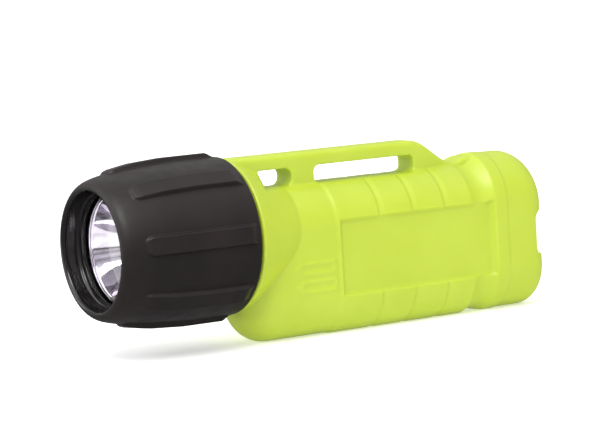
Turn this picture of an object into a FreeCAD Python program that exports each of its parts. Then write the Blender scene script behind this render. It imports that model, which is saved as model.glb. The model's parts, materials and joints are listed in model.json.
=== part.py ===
"""Hand torch for two AA cells, switched by turning its bezel.

Frame: +X is the beam direction, +Z is up, and the origin is the centre of the flat
underside that the torch rests on. Every shape is drawn from the plane of the bezel's
rear edge, on the beam axis, and is moved to the frame when it is saved.
"""
import FreeCAD, Part
import math
import os
from FreeCAD import Vector

AXIS = Vector(1, 0, 0)

# Driving dimensions, in millimetres
beam_height = 25.6
tail_x = -86.2
front_x = 34.4

cell_radius = 7.25
cell_body_length = 49.5
cell_nipple_length = 1.0
cell_nipple_radius = 2.75
cell_pitch = 15.0
bay_radius = 7.55

section_radius = 10.6
grip_radius = 10.95
tail_radius = 11.5
grip_top = 0.0
grip_bottom = -15.2
tail_top = 1.4
tail_bottom = -14.5

collar_front_x = -0.5
collar_radius = 17.8
collar_slope = 0.5
neck_radius = 14.7
neck_bore = 12.6
neck_front_x = 11.8

thread_pitch = 4.0
thread_height = 1.0
thread_clearance = 0.3
thread_start_x = 4.6
thread_turns = 1.5

rail_half_width = 3.45
rail_top = 17.6
slot_floor = 10.0
slot_roof = 14.2

switch_gap = 0.4

lens_front_x = 28.75
lens_thickness = 1.4
lens_radius = 14.25
mouth_radius = 11.75
throat_radius = 3.0
reflector_depth = 12.25
reflector_wall = 0.5
reflector_rim_x = 26.95
flange_radius = 12.55


# Shape helpers

def turned(outline):
    """A solid turned about the beam axis from a closed outline of (x, radius)."""
    points = [Vector(x, 0, radius) for x, radius in outline]
    face = Part.Face(Part.makePolygon(points + [points[0]]))
    return face.revolve(Vector(0, 0, 0), AXIS, 360)


def rod(x0, x1, radius, z=0.0, y=0.0):
    """A round bar along X."""
    return Part.makeCylinder(radius, abs(x1 - x0), Vector(min(x0, x1), y, z), AXIS)


def ring(x0, x1, outer, inner, z=0.0):
    """A round tube or washer along X."""
    return rod(x0, x1, outer, z).cut(rod(x0 - 1, x1 + 1, inner, z))


def drilled(shape, places, x0, x1, radius):
    """A shape with round holes along X at the given (y, z) places."""
    return shape.cut(Part.makeCompound([rod(x0, x1, radius, z, y) for y, z in places]))


def block(x0, x1, y0, y1, z0, z1):
    """A rectangular block between two corners."""
    return Part.makeBox(x1 - x0, y1 - y0, z1 - z0, Vector(x0, y0, z0))


def stadium_wire(x, radius, top, bottom):
    """The outline of two half circles, one above the other, across X."""
    upper = Part.Arc(Vector(x, radius, top), Vector(x, 0, top + radius), Vector(x, -radius, top))
    lower = Part.Arc(Vector(x, -radius, bottom), Vector(x, 0, bottom - radius), Vector(x, radius, bottom))
    left = Part.LineSegment(Vector(x, -radius, top), Vector(x, -radius, bottom))
    right = Part.LineSegment(Vector(x, radius, bottom), Vector(x, radius, top))
    return Part.Wire([side.toShape() for side in (upper, left, lower, right)])


def stadium(x0, x1, radius, top, bottom):
    """A straight bar with the stadium outline."""
    return Part.Face(stadium_wire(x0, radius, top, bottom)).extrude(Vector(x1 - x0, 0, 0))


def upright(outline, half_width):
    """A plate standing along X, from a closed outline of (x, z), centred on the beam axis."""
    points = [Vector(x, -half_width, z) for x, z in outline]
    face = Part.Face(Part.makePolygon(points + [points[0]]))
    return face.extrude(Vector(0, 2 * half_width, 0))


def rounded_block(x0, x1, half_width, z0, z1, corner):
    """A block whose corners are rounded as seen from the side."""
    body = block(x0, x1, -half_width, half_width, z0, z1)
    across = [edge for edge in body.Edges if abs(edge.tangentAt(edge.FirstParameter).y) > 0.9]
    return body.makeFillet(corner, across)


def along_x(shape, x):
    """Turn a shape drawn along Z so that it lies along X, starting at x."""
    shape.rotate(Vector(0, 0, 0), Vector(0, 1, 0), 90)
    shape.translate(Vector(x, 0, 0))
    return shape


def helical_ridge(x, turns, root, crest, root_width, crest_width):
    """A right-hand trapezoid thread ridge about the beam axis."""
    path = Part.makeHelix(thread_pitch, thread_pitch * turns, min(root, crest))
    corners = [
        Vector(root, 0, -root_width / 2),
        Vector(crest, 0, -crest_width / 2),
        Vector(crest, 0, crest_width / 2),
        Vector(root, 0, root_width / 2),
    ]
    profile = Part.makePolygon(corners + [corners[0]])
    ridge = Part.Wire(path.Edges).makePipeShell([profile], True, True)
    return along_x(ridge, x)


def coil(x, length, turns, radius, wire_radius, z=0.0):
    """A compression spring along X, with its ends on the two planes."""
    pitch = (length - 2 * wire_radius) / turns
    path = Part.makeHelix(pitch, pitch * turns, radius)
    start = Part.Circle(Vector(radius, 0, 0), Vector(0, 1, 0), wire_radius)
    spring = Part.Wire(path.Edges).makePipeShell([Part.Wire(start.toShape())], True, True)
    spring = along_x(spring, x + wire_radius)
    spring.translate(Vector(0, 0, z))
    return spring


# Housing

groove_positions = (-36.6, -46.0, -55.4)
scallop_x0 = -63.6
scallop_x1 = -70.3
tail_step_x = -73.6
bay_rear_x = -80.8
keyway_reach = 13.6


def body_sections():
    """Stadium sections of the grip, from its front step to the tail."""
    sections = [(-24.6, section_radius), (-25.3, grip_radius)]
    for groove in groove_positions:
        sections.append((groove, grip_radius))
        sections.append((groove - 0.3, grip_radius - 0.4))
        sections.append((groove - 1.9, grip_radius))
    sections = [(x, radius, grip_top, grip_bottom) for x, radius in sections]
    steps = 8
    for step in range(steps + 1):
        share = step / steps
        x = scallop_x0 + (scallop_x1 - scallop_x0) * share
        dip = 1.1 * math.sin(math.pi * share)
        radius = grip_radius + (tail_radius - grip_radius) * share - dip
        top = grip_top + (tail_top - grip_top) * share
        bottom = grip_bottom + (tail_bottom - grip_bottom) * share
        sections.append((x, radius, top, bottom))
    sections.append((tail_step_x, tail_radius, tail_top, tail_bottom))
    sections.append((tail_step_x - 0.4, tail_radius - 0.2, tail_top, tail_bottom))
    return sections


def body_outside():
    """The solid outer shape of the battery body."""
    chin_x = -1.7
    front = stadium(-24.6, chin_x, section_radius, grip_top, grip_bottom)
    ends = [edge for edge in front.Edges if edge.BoundBox.XMin > chin_x - 0.01]
    front = front.makeFillet(7.6, ends)
    sections = body_sections()
    grip = Part.makeLoft([stadium_wire(*section) for section in sections], True, True)
    return front.multiFuse([grip, tail_end(sections[-1])])


def rounding(depth, size):
    """How far a corner of the given radius falls away, at a depth into it."""
    if depth <= 0:
        return 0.0
    return size - math.sqrt(max(size ** 2 - depth ** 2, 0.0))


def tail_end(section):
    """The closed end of the body, more rounded above than below."""
    start_x, radius, top, bottom = section
    top_size, side_size, bottom_size = 7.5, 5.0, 4.2
    steps = 9
    bend_x = tail_x + top_size
    wires = [stadium_wire(start_x, radius, top, bottom)]
    for step in range(steps + 1):
        depth = top_size * math.sin(0.5 * math.pi * 0.94 * step / steps)
        side = radius - rounding(depth - top_size + side_size, side_size)
        crown = top + radius - rounding(depth, top_size)
        base = bottom - radius + rounding(depth - top_size + bottom_size, bottom_size)
        wires.append(stadium_wire(bend_x - depth, side, crown - side, base + side))
    return Part.makeLoft(wires, True, True)


def rail_outside():
    """The lanyard rail on top, which sweeps down into a low hump on the tail."""
    shoulder_x = -51.5
    sweep = Part.BSplineCurve()
    sweep.interpolate([
        Vector(shoulder_x, 0, rail_top),
        Vector(-57.4, 0, 15.2),
        Vector(-61.6, 0, 12.2),
        Vector(-64.0, 0, 11.35),
        Vector(-66.4, 0, 11.9),
        Vector(-69.5, 0, 12.3),
    ])
    corners = [Vector(-69.5, 0, 4), Vector(-1.2, 0, 4), Vector(-1.2, 0, rail_top)]
    edges = [sweep.toShape()]
    edges.append(Part.makeLine(Vector(-69.5, 0, 12.3), corners[0]))
    edges.append(Part.makeLine(corners[0], corners[1]))
    edges.append(Part.makeLine(corners[1], corners[2]))
    edges.append(Part.makeLine(corners[2], Vector(shoulder_x, 0, rail_top)))
    outline = Part.Wire(Part.__sortEdges__(edges))
    plate = Part.Face(outline)
    plate.translate(Vector(0, -rail_half_width, 0))
    rail = plate.extrude(Vector(0, 2 * rail_half_width, 0))
    top_edges = []
    for edge in rail.Edges:
        box = edge.BoundBox
        if box.ZMin > 11 and box.YLength < 0.01 and box.XLength > 1:
            top_edges.append(edge)
    return rail.makeFillet(1.3, top_edges)


def rail_slots():
    """The two slots through the rail."""
    reach = 12
    long_slot = rounded_block(-52.5, -24.0, reach, slot_floor, slot_roof, 1.5)
    rear_x = -17.8
    short_slot = rounded_block(rear_x, -6.0, rail_half_width, slot_floor, slot_roof, 1.9)
    slant = [(-10.8, slot_floor - 1), (-4, slot_floor - 1), (-4, slot_roof + 1), (-7.8, slot_roof + 1)]
    slots = [long_slot, short_slot.cut(upright(slant, reach))]
    for side in (1, -1):
        slots.append(slot_flare(rear_x + 1.5, side))
    return slots


def slot_flare(rear_x, side):
    """Where the short slot opens out through the side of the collar."""
    wires = []
    for y, forward in ((rail_half_width - 0.01, 0.0), (11.0, 4.6)):
        corners = [
            Vector(rear_x, side * y, slot_floor),
            Vector(-10.4 + forward, side * y, slot_floor),
            Vector(-8.2 + forward, side * y, slot_roof),
            Vector(rear_x, side * y, slot_roof),
        ]
        wires.append(Part.makePolygon(corners + [corners[0]]))
    return Part.makeLoft(wires, True, True)


def label_pocket(side):
    """A shallow pocket with bevelled borders in one side of the grip."""
    floor = 9.95
    outside = 12.4
    spread = 1.6
    x0, x1, z0, z1 = -69.3, -26.0, -15.8, 1.1
    wires = []
    for y, grow in ((floor, 0.0), (outside, spread)):
        corners = [
            Vector(x0 - grow, side * y, z0 - grow),
            Vector(x1 + grow * 0.4, side * y, z0 - grow),
            Vector(x1 + grow * 0.4, side * y, z1 + grow),
            Vector(x0 - grow, side * y, z1 + grow),
        ]
        wires.append(Part.makePolygon(corners + [corners[0]]))
    return Part.makeLoft(wires, True, True)


def cell_mark(side):
    """A raised outline of two small cells, moulded on the front of the body."""
    sunk = section_radius - 0.3
    proud = section_radius + 0.3
    marks = []
    for z in (-9.0, -13.2):
        outer = block(-24.0, -14.0, sunk, proud, z - 1.5, z + 1.5)
        inner = block(-23.3, -14.7, sunk - 1, proud + 1, z - 0.8, z + 0.8)
        nipple = block(-14.0, -13.0, sunk, proud, z - 0.6, z + 0.6)
        marks.append(outer.cut(inner).fuse(nipple))
    group = marks[0].fuse(marks[1])
    if side < 0:
        group = group.mirror(Vector(0, 0, 0), Vector(0, 1, 0))
    return group


def collar():
    """The cone that carries the neck and meets the bezel's rear edge."""
    end_x = -16.4
    end_radius = collar_radius + collar_slope * (end_x - collar_front_x)
    return turned([
        (end_x, 0), (end_x, end_radius), (collar_front_x - 0.5, collar_radius - 0.2),
        (collar_front_x, collar_radius - 0.6), (collar_front_x, 0),
    ])


def neck():
    """The threaded neck, with its seal groove."""
    stub = turned([
        (collar_front_x - 2, 0), (collar_front_x - 2, neck_radius), (neck_front_x - 0.6, neck_radius),
        (neck_front_x, neck_radius - 0.6), (neck_front_x, 0),
    ])
    root = neck_radius - 0.4
    crest = neck_radius + thread_height
    ridge = helical_ridge(thread_start_x, thread_turns, root, crest, 1.5, 0.9)
    return stub.fuse(ridge).cut(ring(0.4, 2.4, neck_radius + 1, 13.9))


def battery_bay():
    """Everything that is hollow inside the housing."""
    bay_front_x = -3.6
    bay = stadium(bay_rear_x, bay_front_x, bay_radius, 0.0, -cell_pitch)
    mouth = rod(bay_front_x - 1, neck_front_x + 1, neck_bore)
    keyways = block(1, neck_front_x + 1, -keyway_reach, keyway_reach, -1.6, 1.6)
    return [bay, mouth, keyways] + strip_rivet_bores()


def make_housing():
    body = body_outside().multiFuse([rail_outside(), collar()])
    body = body.cut(Part.makeCompound(rail_slots()))
    floor = block(tail_x - 5, 20, -30, 30, -60, -beam_height)
    channel_z = -7.6
    channel = rounded_block(tail_x - 4, tail_x + 3.4, 20, channel_z - 5.2, channel_z + 5.2, 1.7)
    body = body.cut(Part.makeCompound([floor, channel]))
    body = body.cut(Part.makeCompound([label_pocket(1), label_pocket(-1)]))
    body = body.fuse(neck())
    for hollow in battery_bay():
        body = body.cut(hollow)
    body = body.multiFuse([cell_mark(1), cell_mark(-1)])
    return body


def make_neck_o_ring():
    return Part.makeTorus(14.8, 0.88, Vector(1.4, 0, 0), AXIS)


# Cells and their contacts

upper_cell_front_x = -25.6
lower_cell_front_x = -26.45
sleeve_thickness = 0.15
plate_front_x = -78.1
plate_thickness = 0.4
rivet_radius = 0.8
rivet_head_height = 0.5
rear_rivet_length = 2.4


def cell_parts(front_x, z, nipple_forward):
    """One AA cell: a steel can, a printed sleeve round it, a seal and a positive cap."""
    rear_x = front_x - cell_body_length
    can_radius = cell_radius - sleeve_thickness
    if nipple_forward:
        cap_x, outward = front_x, 1
    else:
        cap_x, outward = rear_x, -1
    inner_x = cap_x - outward * 1.2
    far_x = rear_x if nipple_forward else front_x
    can = rod(far_x, inner_x, can_radius, z)
    sleeve = ring(rear_x + 0.2, front_x - 0.2, cell_radius, can_radius, z)
    seal = ring(min(inner_x, cap_x), max(inner_x, cap_x), can_radius, 4.6, z)
    base = rod(inner_x, cap_x, 4.6, z)
    nipple = rod(cap_x, cap_x + outward * cell_nipple_length, cell_nipple_radius, z)
    return {"can": can, "sleeve": sleeve, "seal": seal, "cap": base.fuse(nipple).removeSplitter()}


def make_rear_contact_plate():
    plate = stadium(plate_front_x - plate_thickness, plate_front_x, 6.8, 0.0, -cell_pitch)
    return drilled(plate, rear_rivet_places(), plate_front_x - 1, plate_front_x + 1, rivet_radius)


def rear_rivet_places():
    middle = -cell_pitch / 2
    return [(-4.8, middle), (4.8, middle)]


def make_rear_contact_rivets():
    rivets = []
    for y, z in rear_rivet_places():
        shank = rod(plate_front_x - rear_rivet_length, plate_front_x, rivet_radius, z, y)
        head = rod(plate_front_x, plate_front_x + rivet_head_height, 1.5, z, y)
        rivets.append(shank.fuse(head))
    return Part.makeCompound(rivets)


def make_cell_cushion():
    pad = stadium(bay_rear_x, plate_front_x - plate_thickness, 7.3, 0.0, -cell_pitch)
    hole_rear_x = plate_front_x - rear_rivet_length
    return drilled(pad, rear_rivet_places(), hole_rear_x, plate_front_x, rivet_radius)


strip_half_width = 2.0
strip_thickness = 0.4
strip_floor_z = -22.1
strip_rivet_positions = (-20.0, -9.0)
strip_rivet_depth = 2.0


def make_front_contact_strip():
    """A bent strip from the lower cell's flat end, along the floor, to the neck."""
    finger_x = lower_cell_front_x + 0.02
    riser_x = -4.1
    tip_x = 1.9
    sill_z = -11.6
    path = [
        (finger_x, -10.5), (finger_x, strip_floor_z), (riser_x, strip_floor_z),
        (riser_x, sill_z - strip_thickness), (tip_x, sill_z - strip_thickness), (tip_x, -8.6),
    ]
    back = [
        (tip_x - strip_thickness, -8.6), (tip_x - strip_thickness, sill_z),
        (riser_x - strip_thickness, sill_z), (riser_x - strip_thickness, strip_floor_z + strip_thickness),
        (finger_x + strip_thickness, strip_floor_z + strip_thickness), (finger_x + strip_thickness, -10.5),
    ]
    strip = upright(path + back, strip_half_width)
    return strip.cut(Part.makeCompound(strip_rivet_bores()))


def strip_rivet_bores():
    """The upright holes that the strip's rivets go through."""
    feet = [Vector(x, 0, strip_floor_z - strip_rivet_depth) for x in strip_rivet_positions]
    return [Part.makeCylinder(rivet_radius, 2 * strip_rivet_depth, foot) for foot in feet]


def make_strip_rivets():
    rivets = []
    for x in strip_rivet_positions:
        foot = Vector(x, 0, strip_floor_z - strip_rivet_depth)
        seat = Vector(x, 0, strip_floor_z + strip_thickness)
        shank = Part.makeCylinder(rivet_radius, strip_rivet_depth + strip_thickness, foot)
        rivets.append(shank.fuse(Part.makeCylinder(1.4, rivet_head_height, seat)))
    return Part.makeCompound(rivets)


# Lamp module

stem_radius = 12.3
stem_rear_x = 3.0
barrel_radius = 6.8
barrel_rear_x = -21.0
case_floor_x = 12.0
case_flange_x = 13.6
board_front_x = 14.0
board_thickness = 1.6
screw_radius = 0.7
lead_radius = 0.5
emitter_height = 0.8
driver_rear_x = 6.2
driver_front_x = 7.4
pin_head_reach = 4.2
contact_tip_x = upper_cell_front_x + cell_nipple_length + switch_gap


def make_lamp_case():
    """The black module body: a cup for the reflector, a stem and a narrow barrel."""
    outside = turned([
        (barrel_rear_x, 0), (barrel_rear_x, barrel_radius), (stem_rear_x - 2.4, barrel_radius),
        (stem_rear_x, 9.0), (stem_rear_x, stem_radius), (case_flange_x, stem_radius),
        (case_flange_x, 14.2), (case_flange_x + 1.4, 14.2), (case_flange_x + 1.4, 12.55),
        (reflector_rim_x - 0.5, 12.55), (reflector_rim_x - 0.5, 0),
    ])
    keys = block(stem_rear_x, neck_front_x - 0.5, -13.2, 13.2, -1.25, 1.25)
    bore = turned([
        (barrel_rear_x - 1, 0), (barrel_rear_x - 1, 5.4), (stem_rear_x + 1.2, 5.4),
        (stem_rear_x + 1.2, 11.1), (case_floor_x, 11.1), (case_floor_x, 11.6),
        (reflector_rim_x, 12.1), (reflector_rim_x, 0),
    ])
    return outside.fuse(keys).cut(bore)


def parabola_points(offset, steps=14):
    """Points along the reflector's bowl, from its throat to its rim."""
    throat_x = reflector_rim_x - reflector_depth
    scale = (mouth_radius ** 2 - throat_radius ** 2) / reflector_depth
    points = []
    for step in range(steps + 1):
        radius = throat_radius + (mouth_radius - throat_radius) * step / steps
        x = throat_x + (radius ** 2 - throat_radius ** 2) / scale
        lean = math.atan2(2 * radius, scale)
        points.append(Vector(x - offset * math.sin(lean), 0, radius + offset * math.cos(lean)))
    return points


def make_reflector():
    """The bright bowl, with a thin flange that sits on the front of the case."""
    inner = Part.BSplineCurve()
    inner.interpolate(parabola_points(0.0))
    outer = Part.BSplineCurve()
    outer_points = [p for p in parabola_points(reflector_wall) if p.x < reflector_rim_x - 0.6]
    outer.interpolate(outer_points)
    first, last = parabola_points(0.0)[0], parabola_points(0.0)[-1]
    flange_x = reflector_rim_x - 0.5
    corners = [
        last,
        Vector(reflector_rim_x, 0, flange_radius),
        Vector(flange_x, 0, flange_radius),
        Vector(flange_x, 0, outer_points[-1].z),
        outer_points[-1],
    ]
    edges = [inner.toShape(), outer.toShape(), Part.makeLine(outer_points[0], first)]
    for start, end in zip(corners, corners[1:]):
        edges.append(Part.makeLine(start, end))
    face = Part.Face(Part.Wire(Part.__sortEdges__(edges)))
    return face.revolve(Vector(0, 0, 0), AXIS, 360)


def make_reflector_ring():
    return ring(reflector_rim_x, reflector_rim_x + 0.3, flange_radius, mouth_radius + 0.1)


def make_heat_sink():
    """An aluminium slug with two wire holes and two screw holes."""
    slug = rod(9.0, board_front_x - board_thickness, 10.9)
    slug = drilled(slug, screw_places() + lead_places(), 8, board_front_x + 1, screw_radius)
    return slug.cut(ring(8.0, case_floor_x, 12.0, 10.5))


def screw_places():
    return [(-5.0, 0.0), (5.0, 0.0)]


def lead_places():
    return [(0.0, -5.4), (0.0, 5.4)]


def make_led_board():
    board = rod(board_front_x - board_thickness, board_front_x, 7.4)
    return drilled(board, screw_places() + lead_places(), 8, board_front_x + 1, screw_radius)


def make_board_screws():
    screws = []
    for y, z in screw_places():
        shank = rod(10.2, board_front_x, screw_radius, z, y)
        head = rod(board_front_x, board_front_x + 0.4, 1.2, z, y)
        screws.append(shank.fuse(head))
    return Part.makeCompound(screws)


def make_led_leads():
    leads = [rod(driver_front_x, board_front_x + 0.3, lead_radius, z, y) for y, z in lead_places()]
    return Part.makeCompound(leads)


def make_led_emitter():
    half = 1.75
    return block(board_front_x, board_front_x + emitter_height, -half, half, -half, half)


def make_led_dome():
    base_x = board_front_x + emitter_height
    ball = Part.makeSphere(1.5, Vector(base_x, 0, 0))
    return ball.common(block(base_x, base_x + 3, -2, 2, -2, 2))


def make_driver_board():
    board = rod(driver_rear_x, driver_front_x, 10.7)
    return drilled(board, lead_places(), driver_rear_x - 1, driver_front_x + 1, lead_radius)


def make_driver_chips():
    """The inductor and the small chips on the driver board."""
    back = driver_rear_x
    inductor = block(back - 1.6, back, -2.6, 2.6, 6.0, 9.4)
    controller = block(back - 1.0, back, 6.4, 9.2, -2.0, 2.0)
    resistors = [block(back - 0.6, back, -9.0, -7.6, z, z + 0.9) for z in (-3.0, -0.5, 2.0)]
    return Part.makeCompound([inductor, controller] + resistors)


def make_barrel_end_cap():
    """The insulating plug that guides the centre contact."""
    plug = rod(barrel_rear_x, barrel_rear_x + 2.4, 5.4)
    lip = rod(barrel_rear_x - 0.8, barrel_rear_x, 6.6)
    return plug.fuse(lip).cut(rod(barrel_rear_x - 3, barrel_rear_x + 5, 1.6))


def make_centre_contact():
    pin = rod(contact_tip_x, barrel_rear_x + pin_head_reach, 1.55)
    head = rod(barrel_rear_x + 2.5, barrel_rear_x + pin_head_reach, 3.0)
    return pin.fuse(head)


def make_centre_contact_spring():
    start = barrel_rear_x + pin_head_reach + 0.05
    return coil(start, driver_rear_x - 0.05 - start, 6, 2.6, 0.35)


def make_contact_ring():
    return ring(stem_rear_x - 0.5, stem_rear_x, 12.0, 9.2)


# Bezel

rib_count = 8
rib_phase = 5.0
flange_rear_x = 29.15
flange_bore = 12.6
bezel_bore = 14.5
barrel_radius_rear = 18.3
lip_radius = 14.4
thread_bore = neck_radius + thread_height + thread_clearance


def barrel_outline():
    """The bezel's bowed barrel and round nose, as a curve of (x, radius)."""
    curve = Part.BSplineCurve()
    curve.interpolate([
        Vector(0.6, 0, barrel_radius_rear),
        Vector(10, 0, 18.4),
        Vector(18, 0, 18.1),
        Vector(24, 0, 17.6),
        Vector(29, 0, 16.9),
        Vector(32, 0, 16.2),
        Vector(33.4, 0, 15.6),
        Vector(front_x - 0.3, 0, 15.0),
        Vector(front_x, 0, lip_radius),
    ])
    return curve


def bezel_barrel():
    curve = barrel_outline()
    flange_front_x = flange_rear_x + 0.6
    step_x = 13.5
    inside = [
        Vector(front_x, 0, lip_radius), Vector(front_x - 0.3, 0, lip_radius - 0.5),
        Vector(33.0, 0, 13.6), Vector(30.8, 0, 13.1), Vector(30.6, 0, 12.8),
        Vector(flange_front_x, 0, flange_bore),
        Vector(flange_rear_x, 0, flange_bore), Vector(flange_rear_x, 0, bezel_bore),
        Vector(step_x, 0, bezel_bore), Vector(step_x, 0, 15.2), Vector(12.6, 0, 15.2),
        Vector(12.6, 0, thread_bore), Vector(0, 0, thread_bore),
        Vector(0, 0, barrel_radius_rear - 0.6), Vector(0.6, 0, barrel_radius_rear),
    ]
    edges = [curve.toShape()]
    for start, end in zip(inside, inside[1:]):
        edges.append(Part.makeLine(start, end))
    face = Part.Face(Part.Wire(Part.__sortEdges__(edges)))
    return face.revolve(Vector(0, 0, 0), AXIS, 360)


def grip_rib(angle):
    """One raised rib along the barrel, with a sloping rear end and a fading front."""
    half_width = 2.1
    crest = [
        (1.2, 17.4), (1.2, 18.1), (3.4, 19.4), (14.0, 19.35), (22.0, 18.8),
        (27.4, 17.9), (29.4, 16.6), (29.4, 15.8), (20.0, 16.2),
    ]
    rib = upright(crest, half_width)
    rib.rotate(Vector(0, 0, 0), AXIS, angle)
    return rib


def make_bezel():
    body = bezel_barrel()
    ribs = [grip_rib(rib_phase + 360 * rib / rib_count) for rib in range(rib_count)]
    body = body.multiFuse(ribs)
    root = thread_bore + 0.4
    crest = thread_bore - thread_height
    start_x = thread_start_x + thread_pitch / 2
    ridge = helical_ridge(start_x, 1.25, root, crest, 1.5, 0.9)
    return body.fuse(ridge)


def make_lens():
    return rod(lens_front_x - lens_thickness, lens_front_x, lens_radius)


def make_lens_gasket():
    return ring(lens_front_x, flange_rear_x, 14.4, 12.95)


def make_lens_retainer():
    return ring(case_flange_x + 1.9, lens_front_x - lens_thickness, 14.45, 12.9)


def make_module_clip():
    """An open spring ring that keeps the lamp module in the bezel."""
    clip = ring(12.7, 13.4, 15.1, 13.3)
    return clip.cut(block(12, 14, -1.5, 1.5, 10, 20))


def all_parts():
    """Every sub-part, by the name of its node."""
    parts = {
        "housing": make_housing(),
        "neck_o_ring": make_neck_o_ring(),
        "rear_contact_plate": make_rear_contact_plate(),
        "rear_contact_rivets": make_rear_contact_rivets(),
        "cell_cushion": make_cell_cushion(),
        "front_contact_strip": make_front_contact_strip(),
        "strip_rivets": make_strip_rivets(),
        "lamp_case": make_lamp_case(),
        "reflector": make_reflector(),
        "reflector_ring": make_reflector_ring(),
        "heat_sink": make_heat_sink(),
        "led_board": make_led_board(),
        "board_screws": make_board_screws(),
        "led_leads": make_led_leads(),
        "led_emitter": make_led_emitter(),
        "led_dome": make_led_dome(),
        "driver_board": make_driver_board(),
        "driver_chips": make_driver_chips(),
        "barrel_end_cap": make_barrel_end_cap(),
        "centre_contact": make_centre_contact(),
        "centre_contact_spring": make_centre_contact_spring(),
        "contact_ring": make_contact_ring(),
        "bezel": make_bezel(),
        "lens": make_lens(),
        "lens_gasket": make_lens_gasket(),
        "lens_retainer": make_lens_retainer(),
        "module_clip": make_module_clip(),
    }
    upper_rear_x = upper_cell_front_x - cell_body_length
    lower_rear_x = lower_cell_front_x - cell_body_length - cell_nipple_length
    upper_space = upper_rear_x - plate_front_x
    lower_space = lower_rear_x - plate_front_x
    parts["rear_spring_upper"] = coil(plate_front_x, upper_space, 3, 3.6, 0.35)
    parts["rear_spring_lower"] = coil(plate_front_x, lower_space, 1, 1.9, 0.25, -cell_pitch)
    for place, front, z, forward in (
        ("upper", upper_cell_front_x, 0.0, True),
        ("lower", lower_cell_front_x, -cell_pitch, False),
    ):
        for piece, shape in cell_parts(front, z, forward).items():
            parts[place + "_cell_" + piece] = shape
    return parts


os.makedirs("parts", exist_ok=True)
to_frame = Vector(-(tail_x + front_x) / 2, 0, beam_height)
for name, shape in all_parts().items():
    shape.translate(to_frame)
    if not shape.isValid():
        print("not valid:", name)
    print(f"{name:24s} solids {len(shape.Solids)}  volume {shape.Volume:9.1f} mm3")
    shape.exportStep(f"parts/{name}.step")
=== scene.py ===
"""Studio picture of a small high-visibility hand torch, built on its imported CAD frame.

Lengths named _mm are in millimetres in the torch's own drawing frame, where x runs along
the beam from the bezel's rear edge and the beam is the axis. place() takes them to metres.
"""
import json
import math

import bpy
from mathutils import Matrix, Vector


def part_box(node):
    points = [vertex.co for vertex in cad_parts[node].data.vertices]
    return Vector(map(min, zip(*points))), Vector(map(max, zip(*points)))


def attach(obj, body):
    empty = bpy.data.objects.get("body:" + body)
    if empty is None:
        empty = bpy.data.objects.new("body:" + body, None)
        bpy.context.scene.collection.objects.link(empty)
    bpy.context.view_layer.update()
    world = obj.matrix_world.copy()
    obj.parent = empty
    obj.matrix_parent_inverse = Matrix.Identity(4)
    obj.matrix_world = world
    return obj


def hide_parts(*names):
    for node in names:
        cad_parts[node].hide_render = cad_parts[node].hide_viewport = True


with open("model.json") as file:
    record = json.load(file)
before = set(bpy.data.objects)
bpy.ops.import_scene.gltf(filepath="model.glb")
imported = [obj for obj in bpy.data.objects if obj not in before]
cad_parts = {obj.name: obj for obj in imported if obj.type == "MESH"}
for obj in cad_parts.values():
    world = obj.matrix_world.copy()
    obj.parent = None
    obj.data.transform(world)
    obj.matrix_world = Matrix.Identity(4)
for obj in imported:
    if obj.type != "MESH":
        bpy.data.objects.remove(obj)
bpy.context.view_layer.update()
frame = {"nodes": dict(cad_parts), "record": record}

MM = 0.001
FULL_TURN = 2 * math.pi

bezel_low, bezel_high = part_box("bezel")
rear_x = bezel_low.x
axis_z = (bezel_low.z + bezel_high.z) / 2


def place(x_mm, radius_mm, angle):
    """A point at an angle about the beam axis, counted from straight up towards -Y."""
    across = radius_mm * MM
    return (rear_x + x_mm * MM, -across * math.sin(angle), axis_z + across * math.cos(angle))


# Meshes

corner_steps = 4
corner_points = corner_steps + 1


def link(new_object):
    bpy.context.scene.collection.objects.link(new_object)
    return new_object


def new_piece(name, points, faces):
    mesh = bpy.data.meshes.new(name)
    mesh.from_pydata(points, [], faces)
    mesh.validate()
    mesh.shade_smooth()
    return link(bpy.data.objects.new(name, mesh))


def soften(path, size):
    """A closed path with each sharp corner cut back and rounded into corner_points points."""
    sharp_turn = 0.2
    longest_share = 0.45
    softened = []
    for index, corner in enumerate(path):
        corner = Vector(corner)
        before = Vector(path[index - 1])
        after = Vector(path[(index + 1) % len(path)])
        if (corner - before).angle(after - corner, 0.0) < sharp_turn:
            softened.append(tuple(corner))
            continue
        back = min(size, (corner - before).length * longest_share)
        forth = min(size, (after - corner).length * longest_share)
        start = corner + (before - corner).normalized() * back
        end = corner + (after - corner).normalized() * forth
        for step in range(corner_points):
            share = step / corner_steps
            point = start.lerp(corner, share).lerp(corner.lerp(end, share), share)
            softened.append(tuple(point))
    return softened


def smooth_curve(knots, steps):
    """Points on a Catmull-Rom curve through the knots."""
    knots = [Vector(knot) for knot in knots]
    padded = [2 * knots[0] - knots[1]] + knots + [2 * knots[-1] - knots[-2]]
    points = []
    for before, start, end, after in zip(padded, padded[1:], padded[2:], padded[3:]):
        for step in range(steps):
            t = step / steps
            linear = (end - before) * t
            square = (2 * before - 5 * start + 4 * end - after) * t ** 2
            cubic = (3 * start - before - 3 * end + after) * t ** 3
            points.append(0.5 * (2 * start + linear + square + cubic))
    return [tuple(point) for point in points + [knots[-1]]]


def lathe(name, outline, angles, reach=None, reached=0):
    """A closed outline of (x, radius) turned about the beam axis.

    reach(x, radius, angle) may give another radius for the outline's first points.
    """
    points = []
    for angle in angles:
        for index, (x, radius) in enumerate(outline):
            raised = reach(x, radius, angle) if index < reached else radius
            points.append(place(x, raised, angle))
    faces = []
    around, along = len(angles), len(outline)
    for turn in range(around):
        here = turn * along
        there = (turn + 1) % around * along
        for step in range(along):
            after = (step + 1) % along
            faces.append((here + step, there + step, there + after, here + after))
    return new_piece(name, points, faces)


def even_angles(count):
    return [FULL_TURN * step / count for step in range(count)]


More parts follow.
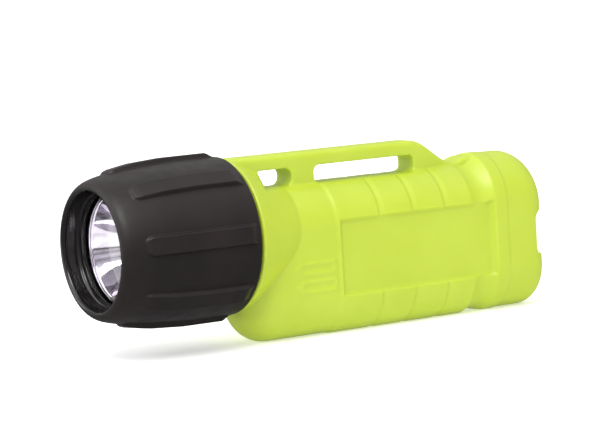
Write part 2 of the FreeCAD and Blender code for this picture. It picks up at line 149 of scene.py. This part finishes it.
def rounded_copy(node, name, voxel, passes, keep):
    """A copy of a CAD node as one even skin, with every edge softened as a moulding's are."""
    piece = link(bpy.data.objects.new(name, frame["nodes"][node].data.copy()))
    remesh = piece.modifiers.new("skin", "REMESH")
    remesh.mode = "VOXEL"
    remesh.voxel_size = voxel
    smooth = piece.modifiers.new("soft edges", "SMOOTH")
    smooth.factor = 0.5
    smooth.iterations = passes
    thin = piece.modifiers.new("thin out", "DECIMATE")
    thin.ratio = keep
    depsgraph = bpy.context.evaluated_depsgraph_get()
    mesh = bpy.data.meshes.new_from_object(piece.evaluated_get(depsgraph))
    mesh.name = name
    mesh.materials.clear()
    mesh.shade_smooth()
    piece.modifiers.clear()
    piece.data = mesh
    return piece


# Materials

def from_srgb(red, green, blue):
    """A linear colour from 0-255 display values."""
    linear = []
    for value in (red, green, blue):
        value /= 255
        linear.append(value / 12.92 if value <= 0.04045 else ((value + 0.055) / 1.055) ** 2.4)
    return (*linear, 1.0)


class Finish:
    """A Principled material with helpers that add one kind of detail each."""

    def __init__(self, name, **sockets):
        self.material = bpy.data.materials.new(name)
        self.material.use_nodes = True
        self.nodes = self.material.node_tree.nodes
        self.links = self.material.node_tree.links
        self.shader = self.nodes["Principled BSDF"]
        self.coords = self.nodes.new("ShaderNodeTexCoord").outputs["Object"]
        for socket, value in sockets.items():
            self.shader.inputs[socket.replace("_", " ")].default_value = value

    def noise(self, scale, detail):
        texture = self.nodes.new("ShaderNodeTexNoise")
        texture.inputs["Scale"].default_value = scale
        texture.inputs["Detail"].default_value = detail
        self.links.new(self.coords, texture.inputs["Vector"])
        return texture.outputs["Fac"]

    def span(self, value, low, high, low_out, high_out):
        """value from low..high, taken to low_out..high_out."""
        stretch = self.nodes.new("ShaderNodeMapRange")
        stretch.interpolation_type = "SMOOTHSTEP"
        stretch.inputs["From Min"].default_value = low
        stretch.inputs["From Max"].default_value = high
        stretch.inputs["To Min"].default_value = low_out
        stretch.inputs["To Max"].default_value = high_out
        self.links.new(value, stretch.inputs["Value"])
        return stretch.outputs["Result"]

    def cloud(self, first, second, scale):
        """Base colour that wanders between two tones."""
        blend = self.nodes.new("ShaderNodeMix")
        blend.data_type = "RGBA"
        wander = self.span(self.noise(scale, 3.0), 0.35, 0.65, 0, 1)
        self.links.new(wander, blend.inputs["Factor"])
        colors = [socket for socket in blend.inputs if socket.type == "RGBA"]
        colors[0].default_value = first
        colors[1].default_value = second
        result = [socket for socket in blend.outputs if socket.type == "RGBA"][0]
        self.links.new(result, self.shader.inputs["Base Color"])

    def gloss(self, scale, low_roughness, high_roughness):
        """Roughness that wanders between two values."""
        wander = self.span(self.noise(scale, 4.0), 0.3, 0.7, low_roughness, high_roughness)
        self.links.new(wander, self.shader.inputs["Roughness"])

    def grain(self, scale, depth, strength):
        """A fine raised texture, with its depth in metres."""
        bump = self.nodes.new("ShaderNodeBump")
        bump.inputs["Strength"].default_value = strength
        bump.inputs["Distance"].default_value = depth
        self.links.new(self.noise(scale, 2.0), bump.inputs["Height"])
        self.links.new(bump.outputs["Normal"], self.shader.inputs["Normal"])


def yellow_plastic():
    """The housing's slightly translucent moulded plastic."""
    finish = Finish(
        "safety_yellow_plastic",
        IOR=1.46,
        Specular_IOR_Level=0.9,
        Subsurface_Weight=0.25,
        Subsurface_Scale=0.0015,
        Subsurface_Radius=(1.0, 0.9, 0.15),
    )
    finish.cloud(from_srgb(183, 202, 47), from_srgb(187, 206, 53), 60)
    finish.gloss(400, 0.38, 0.48)
    finish.grain(3500, 0.00002, 0.5)
    return finish.material


def black_rubber():
    """The bezel's matt black grip, with a faint brown cast."""
    finish = Finish("black_rubber", IOR=1.5, Specular_IOR_Level=0.35)
    finish.cloud(from_srgb(27, 21, 21), from_srgb(33, 26, 25), 90)
    finish.gloss(300, 0.42, 0.52)
    finish.grain(2600, 0.00003, 0.5)
    return finish.material


def polished_plastic():
    """The smooth black of the bezel's inside and lip."""
    finish = Finish("polished_black_plastic", IOR=1.5, Specular_IOR_Level=0.5)
    finish.cloud(from_srgb(19, 17, 17), from_srgb(22, 20, 20), 90)
    finish.gloss(60, 0.17, 0.21)
    return finish.material


def clear_pane(name, tint, haze_scale):
    """A clear moulded part that bends the light behind it."""
    finish = Finish(name, IOR=1.58, Transmission_Weight=1.0)
    finish.cloud(tint, (1.0, 1.0, 1.0, 1.0), haze_scale)
    finish.gloss(haze_scale, 0.0, 0.02)
    return finish.material


# Each row: two display colours, the scales of the colour and of the gloss, the roughness
# range, and the grain's scale, depth in metres and strength.
opaque_finishes = {
    "black_plastic": ((20, 18, 18), (24, 22, 22), 150, 900, (0.24, 0.28), 3000, 0.000003, 0.2),
    "soft_rubber": ((24, 24, 25), (34, 33, 34), 300, 600, (0.45, 0.6), 2500, 0.00002, 0.5),
    "cell_sleeve": ((28, 60, 96), (36, 74, 112), 120, 360, (0.25, 0.35), 900, 0.000005, 0.6),
    "seal_plastic": ((60, 60, 62), (74, 74, 76), 300, 900, (0.4, 0.55), 1500, 0.00001, 0.6),
    "white_solder_mask": (
        (232, 232, 228), (240, 240, 237), 400, 1200, (0.3, 0.42), 1800, 0.000006, 0.6,
    ),
    "green_solder_mask": (
        (22, 86, 48), (28, 100, 58), 400, 1200, (0.28, 0.4), 1800, 0.000006, 0.6,
    ),
    "chip_epoxy": ((32, 32, 34), (42, 42, 44), 500, 1500, (0.45, 0.6), 2200, 0.00001, 0.6),
    "led_ceramic": (
        (236, 222, 130), (242, 230, 150), 900, 2700, (0.4, 0.55), 2500, 0.000005, 0.6,
    ),
    "foam": ((52, 52, 54), (70, 70, 72), 800, 2400, (0.85, 0.95), 1400, 0.0003, 0.6),
    "wire_insulation": (
        (150, 24, 20), (168, 32, 26), 500, 1500, (0.35, 0.45), 1500, 0.000008, 0.6,
    ),
}

metal_tone_scale = 500
metal_gloss_scale = 700
metal_grain_scale = 1500
metal_grain_strength = 0.4
# Each row: two linear colours, the roughness range and the grain's depth in metres.
metal_finishes = {
    "bright_metal": ((0.72, 0.67, 0.76, 1), (0.8, 0.75, 0.84, 1), (0.03, 0.05), 0.000004),
    "spring_steel": ((0.55, 0.55, 0.56, 1), (0.68, 0.68, 0.69, 1), (0.2, 0.35), 0.000004),
    "cell_steel": ((0.6, 0.6, 0.62, 1), (0.74, 0.74, 0.76, 1), (0.22, 0.38), 0.000004),
    "brass": ((0.62, 0.45, 0.16, 1), (0.78, 0.58, 0.24, 1), (0.2, 0.34), 0.000004),
    "aluminium": ((0.66, 0.66, 0.67, 1), (0.8, 0.8, 0.81, 1), (0.3, 0.45), 0.00001),
}

finishes = {
    "safety_yellow_plastic": yellow_plastic(),
    "lens_plastic": clear_pane("lens_plastic", (0.97, 0.98, 0.99, 1.0), 80),
    "led_silicone": clear_pane("led_silicone", (0.99, 0.97, 0.86, 1.0), 300),
}
for name, row in opaque_finishes.items():
    first, second, tone_scale, gloss_scale, roughness, grain_scale, depth, strength = row
    finish = Finish(name, IOR=1.5)
    finish.cloud(from_srgb(*first), from_srgb(*second), tone_scale)
    finish.gloss(gloss_scale, *roughness)
    finish.grain(grain_scale, depth, strength)
    finishes[name] = finish.material
for name, (dull, bright, roughness, depth) in metal_finishes.items():
    finish = Finish(name, Metallic=1.0)
    finish.cloud(dull, bright, metal_tone_scale)
    finish.gloss(metal_gloss_scale, *roughness)
    finish.grain(metal_grain_scale, depth, metal_grain_strength)
    finishes[name] = finish.material

# In the record, the seals' slot is called black_rubber.
finishes["black_rubber"] = finishes.pop("soft_rubber")

for subpart in frame["record"]["subparts"]:
    node_mesh = frame["nodes"][subpart["node"]].data
    node_mesh.materials.clear()
    node_mesh.materials.append(finishes[subpart["material_slot"]])


def mount(piece, body, material):
    """Gives a piece its material and slot, and makes it move with a body."""
    piece.data.materials.append(material)
    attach(piece, body)


# Housing

housing = rounded_copy("housing", "housing_shell", voxel=0.3 * MM, passes=3, keep=0.4)
mount(housing, "housing", finishes["safety_yellow_plastic"])
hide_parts("housing")

# Bezel

rib_count = 8
rib_phase = math.radians(5)
rib_half_width_mm = 2.15
rib_tip_mm = 27.2
rib_tip_length_mm = 2.3
rib_edge_inner_mm = 0.25
rib_edge_outer_mm = 0.45
rib_crest_mm = [
    (1.0, 17.9), (1.2, 18.1), (3.4, 19.4), (14.0, 19.35), (22.0, 18.8), (27.0, 17.95),
    (28.6, 17.45), (29.4, 16.7),
]
barrel_mm = [
    (0.6, 18.3), (10, 18.4), (18, 18.1), (24, 17.6), (29, 16.9), (32, 16.2), (33.4, 15.6),
    (34.1, 15.0), (34.38, 14.4), (34.25, 13.95), (33.8, 13.6), (33.0, 13.45), (31.6, 13.3),
]
lip_knot = 8
curve_steps = 16
inside_mm = [
    (30.8, 13.15), (30.6, 12.8), (29.75, 12.6), (29.15, 12.6), (29.15, 14.5), (13.5, 14.5),
    (13.5, 15.2), (12.6, 15.2), (12.6, 16.0), (0.0, 16.0), (0.0, 17.7),
]
inside_rounding_mm = 0.35


def between(table, x):
    """The value at x on a line through (x, value) pairs, or None outside them."""
    for (x0, y0), (x1, y1) in zip(table, table[1:]):
        if x0 <= x <= x1:
            return y0 + (y1 - y0) * (x - x0) / (x1 - x0)
    return None


def smooth_step(low, high, value):
    share = min(max((value - low) / (high - low), 0.0), 1.0)
    return share * share * (3 - 2 * share)


def ribbed(x, radius, angle):
    """The radius of a point on the barrel, raised where a rib with a round tip passes."""
    crest = between(rib_crest_mm, x)
    if crest is None:
        return radius
    pitch = FULL_TURN / rib_count
    off = (angle - rib_phase + pitch / 2) % pitch - pitch / 2
    flat_top = crest / math.cos(off)
    across = abs(crest * math.tan(off))
    into_tip = max(x - rib_tip_mm, 0.0) / rib_tip_length_mm
    half_width = rib_half_width_mm * math.sqrt(max(1 - into_tip ** 2, 0.0))
    lowered = smooth_step(half_width - rib_edge_inner_mm, half_width + rib_edge_outer_mm, across)
    return radius + max(flat_top - radius, 0.0) * (1 - lowered)


def rib_angles():
    """Angles all round, close together at the sides of each rib."""
    half = [
        0, 1, 2, 3, 4, 4.6, 5, 5.4, 5.8, 6.1, 6.4, 6.7, 7.0, 7.3, 7.7, 8.1, 8.6, 9.5, 11.5, 14,
        17, 20,
    ]
    sector = sorted({-degrees for degrees in half} | set(half) | {180 / rib_count})
    angles = []
    for rib in range(rib_count):
        for degrees in sector:
            angles.append(rib_phase + math.radians(rib * 360 / rib_count + degrees))
    return angles


outside = smooth_curve(barrel_mm, curve_steps)
inside = soften([outside[-1]] + inside_mm + [outside[0]], inside_rounding_mm)
inside = inside[corner_points:-corner_points]
bezel_outline = outside + inside
bezel = lathe("bezel_grip", bezel_outline, rib_angles(), ribbed, len(outside))
mount(bezel, "bezel", black_rubber())
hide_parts("bezel")
bezel.data.materials.append(polished_plastic())
for face in bezel.data.polygons:
    if face.index % len(bezel_outline) >= lip_knot * curve_steps:
        face.material_index = 1

thread_pitch_mm = 4.0
thread_start_mm = 6.6
thread_turns = 1.25
thread_section_mm = [(-0.75, 16.3), (0.75, 16.3), (0.45, 15.0), (-0.45, 15.0)]


def thread_ridge(name, steps):
    """The ridge inside the bezel, as one closed helical bar that starts at the bottom."""
    points = []
    for step in range(steps + 1):
        turned = thread_turns * step / steps
        for x, radius in thread_section_mm:
            angle = FULL_TURN * turned + math.pi
            points.append(place(thread_start_mm + thread_pitch_mm * turned + x, radius, angle))
    sides = len(thread_section_mm)
    faces = [tuple(range(sides)), tuple(steps * sides + side for side in reversed(range(sides)))]
    for step in range(steps):
        here, there = step * sides, (step + 1) * sides
        for side in range(sides):
            after = (side + 1) % sides
            faces.append((here + side, there + side, there + after, here + after))
    return new_piece(name, points, faces)


ridge = thread_ridge("bezel_thread", steps=90)
mount(ridge, "bezel", finishes["black_plastic"])

# Reflector

throat_x_mm = 14.7
throat_radius_mm = 3.0
rim_x_mm = 26.95
mouth_radius_mm = 11.75
flange_radius_mm = 12.55
flange_depth_mm = 0.5
bowl_wall_mm = 0.45
back_gap_mm = 0.6
round_steps = 160


def bowl_curve(offset, steps):
    """Points of (x, radius) on the reflector's parabola, moved outwards by an offset."""
    spread = (mouth_radius_mm ** 2 - throat_radius_mm ** 2) / (rim_x_mm - throat_x_mm)
    points = []
    for step in range(steps + 1):
        radius = throat_radius_mm + (mouth_radius_mm - throat_radius_mm) * step / steps
        x = throat_x_mm + (radius ** 2 - throat_radius_mm ** 2) / spread
        lean = math.atan2(2 * radius, spread)
        points.append((x - offset * math.sin(lean), radius + offset * math.cos(lean)))
    return points


front_face = bowl_curve(offset=0.0, steps=48)
back_curve = bowl_curve(offset=bowl_wall_mm, steps=24)
back_face = [(x, radius) for x, radius in back_curve if x < rim_x_mm - back_gap_mm]
flange = [
    (rim_x_mm - flange_depth_mm, back_face[-1][1]),
    (rim_x_mm - flange_depth_mm, flange_radius_mm),
    (rim_x_mm, flange_radius_mm),
]
bowl_outline = back_face + flange + front_face[::-1]
reflector = lathe("reflector_bowl", bowl_outline, even_angles(round_steps))
mount(reflector, "lamp", finishes["bright_metal"])
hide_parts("reflector")

bead_steps = 12
bead_lift_mm = 0.02
# Each bead's name, its distance out from the mouth and its radius.
beads_mm = [("reflector_rim", 0.3, 0.22), ("reflector_rim_outer", 0.72, 0.07)]
for name, out, radius in beads_mm:
    outline = []
    for angle in even_angles(bead_steps):
        outline.append((
            rim_x_mm + bead_lift_mm + radius + radius * math.cos(angle),
            mouth_radius_mm + out - radius * math.sin(angle),
        ))
    bead = lathe(name, outline, even_angles(round_steps))
    mount(bead, "lamp", finishes["bright_metal"])
    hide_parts("reflector_ring")

# Camera

camera_place = Vector((0.3207, 0.4989, 0.0862))
camera_aim = Vector((0.0017, -0.0044, 0.0260))
camera_roll = math.radians(3.40)
sensor_width_mm = 36
focal_length_mm = 151.66

camera_data = bpy.data.cameras.new("camera")
camera_data.sensor_width = sensor_width_mm
camera_data.lens = focal_length_mm
camera = link(bpy.data.objects.new("camera", camera_data))
camera_turn = (camera_aim - camera_place).to_track_quat("-Z", "Y").to_matrix()
camera_turn = camera_turn @ Matrix.Rotation(-camera_roll, 3, "Z")
camera.matrix_world = Matrix.Translation(camera_place) @ camera_turn.to_4x4()
bpy.context.scene.camera = camera

# Floor

floor_half = 30
floor_corners = [
    (-floor_half, -floor_half, 0), (floor_half, -floor_half, 0),
    (floor_half, floor_half, 0), (-floor_half, floor_half, 0),
]
floor = new_piece("floor", floor_corners, [(0, 1, 2, 3)])
floor_finish = Finish(
    "studio_floor",
    Specular_IOR_Level=0.0,
    Roughness=0.9,
    Emission_Color=(1, 1, 1, 1),
    Emission_Strength=0.42,
)
floor_finish.cloud((0.9, 0.9, 0.9, 1), (0.92, 0.92, 0.92, 1), 3)
floor.data.materials.append(floor_finish.material)
floor.visible_glossy = False

# Light

# Bands of light by height, from straight down at 0 to straight up at 1.
sky_bands = [
    (0.0, 0.25), (0.46, 0.3), (0.49, 0.65), (0.52, 0.12), (0.56, 0.6), (0.6, 0.15), (0.66, 0.9),
    (0.72, 0.2), (0.8, 1.0), (1.0, 0.8),
]

world = bpy.data.worlds.new("studio")
bpy.context.scene.world = world
world.use_nodes = True
sky = world.node_tree.nodes
sky_links = world.node_tree.links
sky_side = sky.new("ShaderNodeTexCoord")
sky_split = sky.new("ShaderNodeSeparateXYZ")
sky_links.new(sky_side.outputs["Generated"], sky_split.inputs["Vector"])
sky_height = sky.new("ShaderNodeMapRange")
sky_height.inputs["From Min"].default_value = -1
sky_links.new(sky_split.outputs["Z"], sky_height.inputs["Value"])
sky_ramp = sky.new("ShaderNodeValToRGB")
tones = sky_ramp.color_ramp.elements
for height, level in sky_bands[1:-1]:
    tones.new(height)
for tone, (height, level) in zip(tones, sky_bands):
    tone.color = (level, level, level, 1)
sky_links.new(sky_height.outputs["Result"], sky_ramp.inputs["Fac"])
sky_links.new(sky_ramp.outputs["Color"], sky["Background"].inputs["Color"])


def new_lamp(name, kind, power, direction):
    """A lamp that shines in a direction."""
    data = bpy.data.lights.new(name, kind)
    data.energy = power
    lamp = link(bpy.data.objects.new(name, data))
    lamp.rotation_mode = "QUATERNION"
    lamp.rotation_quaternion = Vector(direction).to_track_quat("-Z", "Y")
    return lamp


def soft_box(name, place_at, aim_at, width, height, power):
    """A rectangular lamp turned to face a point."""
    lamp = new_lamp(name, "AREA", power, Vector(aim_at) - Vector(place_at))
    lamp.location = place_at
    lamp.data.shape = "RECTANGLE"
    lamp.data.size = width
    lamp.data.size_y = height


sun = new_lamp("overhead", "SUN", 1.0, (-0.35, -0.3, -0.85))
sun.data.angle = math.radians(50)
centre = (0, 0, axis_z)
nose = (bezel_high.x, 0, axis_z)
soft_box("front", (0.7, -0.25, 0.3), centre, width=0.75, height=0.8, power=3.6)
soft_box("nose", (0.35, 0.42, 0.6), nose, width=0.14, height=0.34, power=2.1)

bpy.context.scene.view_settings.view_transform = "Standard"
